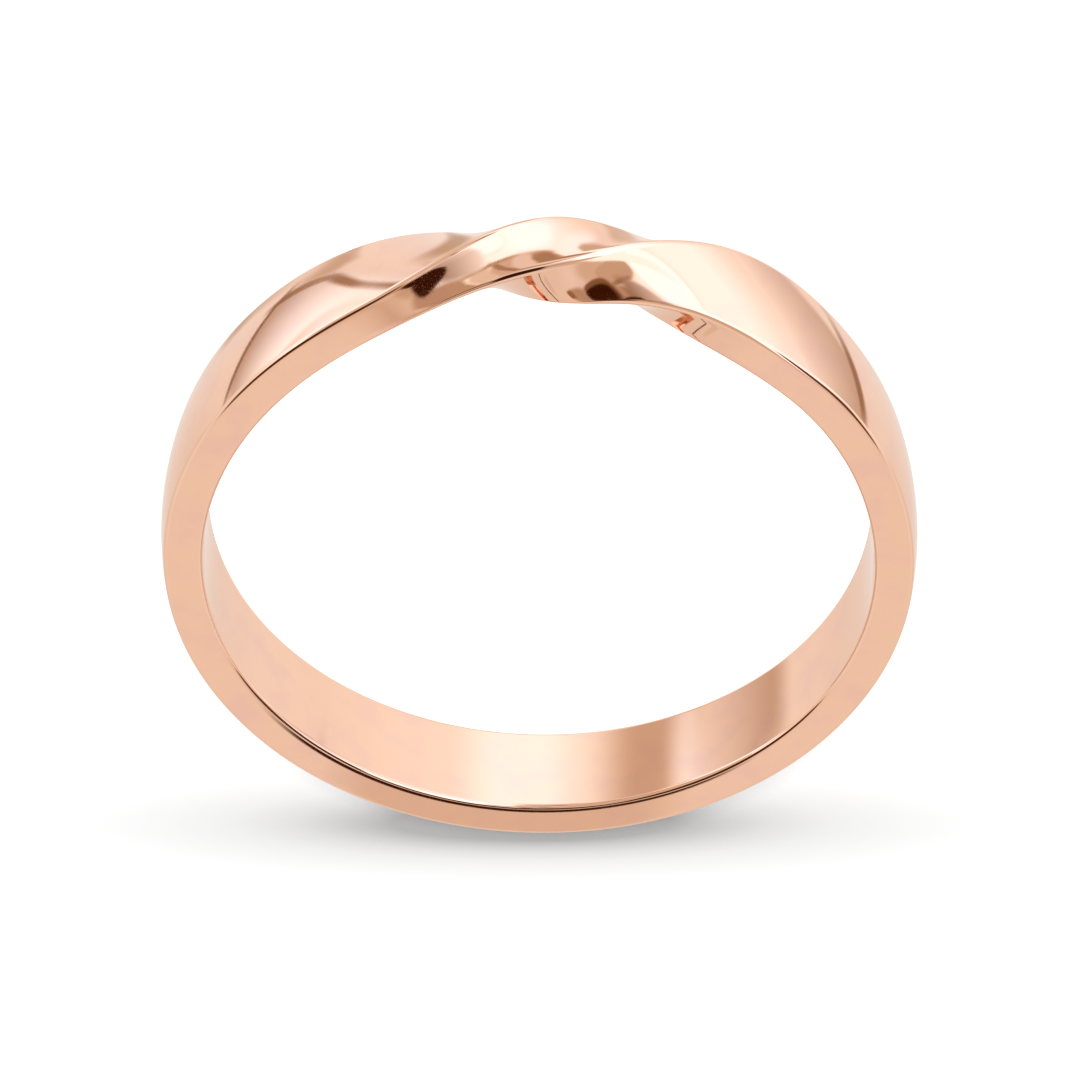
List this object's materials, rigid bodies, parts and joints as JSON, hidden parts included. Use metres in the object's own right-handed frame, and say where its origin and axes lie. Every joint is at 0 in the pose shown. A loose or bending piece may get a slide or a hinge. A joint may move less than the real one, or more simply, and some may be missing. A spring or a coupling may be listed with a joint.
{
  "type": "twisted wedding band",
  "caption": "Plain finger ring made of one low-domed metal bar that narrows and turns over by half a turn on one side.",
  "frame": {"origin": "centre of the finger hole, halfway across the plain band's width", "axes": "+Z along the axis of the finger hole, with the ring lying on its side; the middle of the twist is towards -Y"},
  "size_m": [0.0196, 0.0203, 0.003],
  "materials": {
    "rose_gold": "polished rose gold, 14 carat"
  },
  "bodies": {
    "root": {"band": "rose_gold"}
  },
  "joints": []
}
